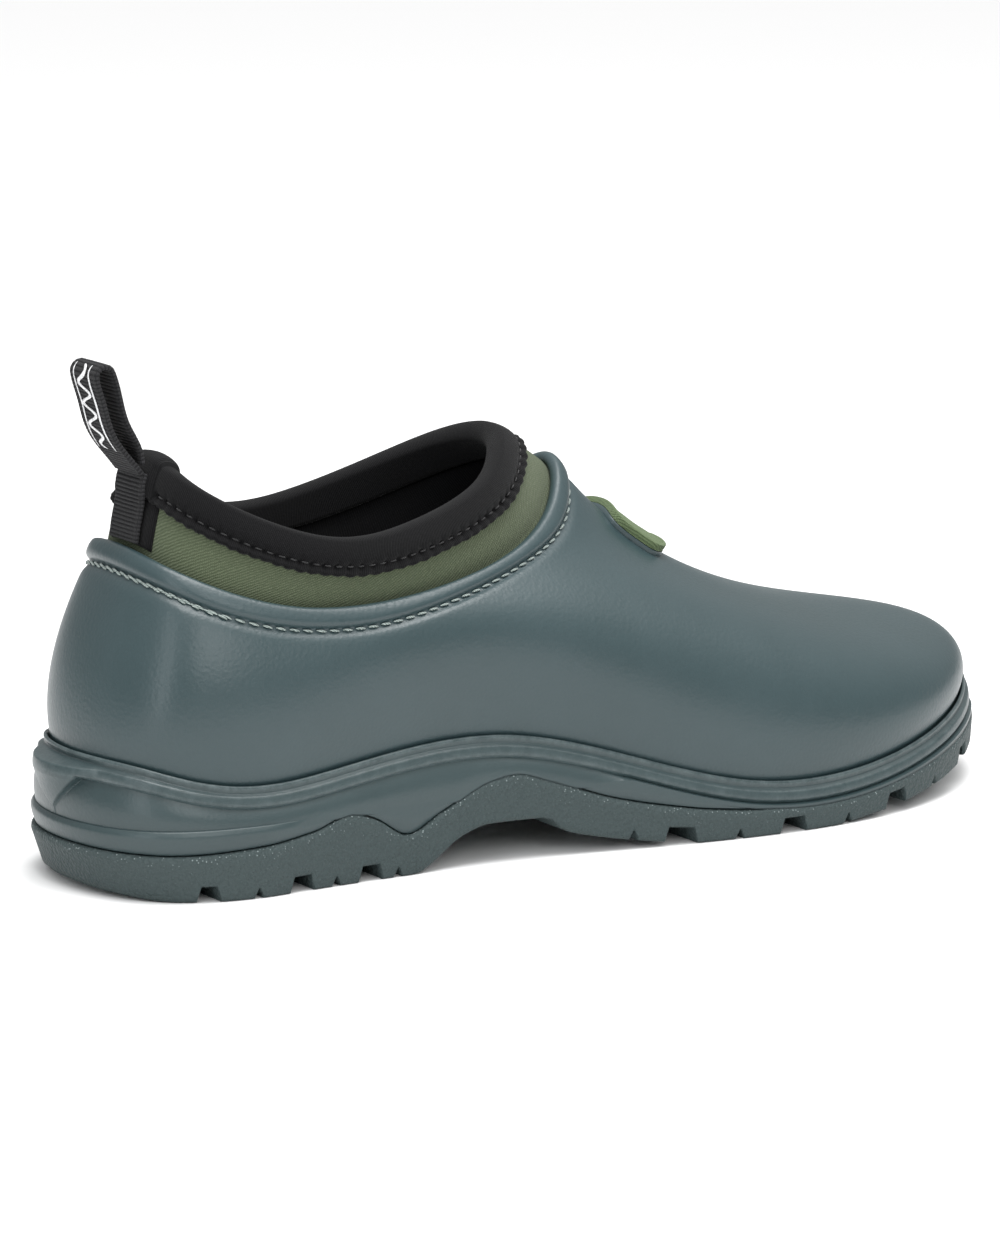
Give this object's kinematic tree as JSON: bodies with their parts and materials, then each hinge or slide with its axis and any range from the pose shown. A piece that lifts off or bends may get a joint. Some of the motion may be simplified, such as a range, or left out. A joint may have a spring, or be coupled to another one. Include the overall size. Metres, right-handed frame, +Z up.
{
  "type": "rubber garden clog",
  "caption": "Right slip-on garden clog: rubber shell on a lugged sole, neoprene bootie with a bound collar, loose footbed and a webbing pull loop at the heel.",
  "frame": {"origin": "on the ground under the middle of the heel, where the heel lugs rest", "axes": "+X from heel to toe, +Y to the inner (big toe) side of a right foot, +Z up"},
  "size_m": [0.281, 0.1, 0.1347],
  "materials": {
    "shell_rubber": "satin blue-grey moulded rubber",
    "midsole_rubber": "satin blue-grey rubber",
    "outsole_rubber": "matt pebbled blue-grey rubber",
    "green_neoprene": "olive knit-faced neoprene",
    "green_badge": "olive matt rubber",
    "black_textile": "black knit",
    "black_webbing": "black grosgrain webbing",
    "pale_thread": "pale grey-green thread",
    "white_print": "white ink on webbing",
    "grey_foam": "dark grey foam",
    "board_fibre": "fibre board"
  },
  "bodies": {
    "shoe": {"upper_shell": "shell_rubber", "midsole": "midsole_rubber", "outsole": "outsole_rubber", "insole_board": "board_fibre", "neoprene_sock": "green_neoprene", "sock_lining": "black_textile", "collar_binding": "black_webbing", "binding_heel_cover": "black_textile", "binding_stitch_thread": "black_textile", "rim_stitch_thread": "pale_thread", "instep_badge": "green_badge", "back_seam_cover": "black_textile", "back_seam_tape": "black_webbing"},
    "loop": {"pull_loop": "black_webbing", "loop_print": "white_print"},
    "footbed": {"footbed_foam": "grey_foam", "footbed_cloth": "black_textile"}
  },
  "joints": [
    {"name": "pull_loop_tilt", "type": "hinge", "parent": "shoe", "child": "loop", "pos_m": [-0.018, 0, 0.1044], "axis": [0, 1, 0], "range_deg": [-60, 8], "stiffness_Nm_per_rad": 0.02},
    {"name": "footbed_lift", "type": "hinge", "parent": "shoe", "child": "footbed", "pos_m": [0.2287, 0, 0.0245], "axis": [0, 1, 0], "range_deg": [0, 6]}
  ]
}
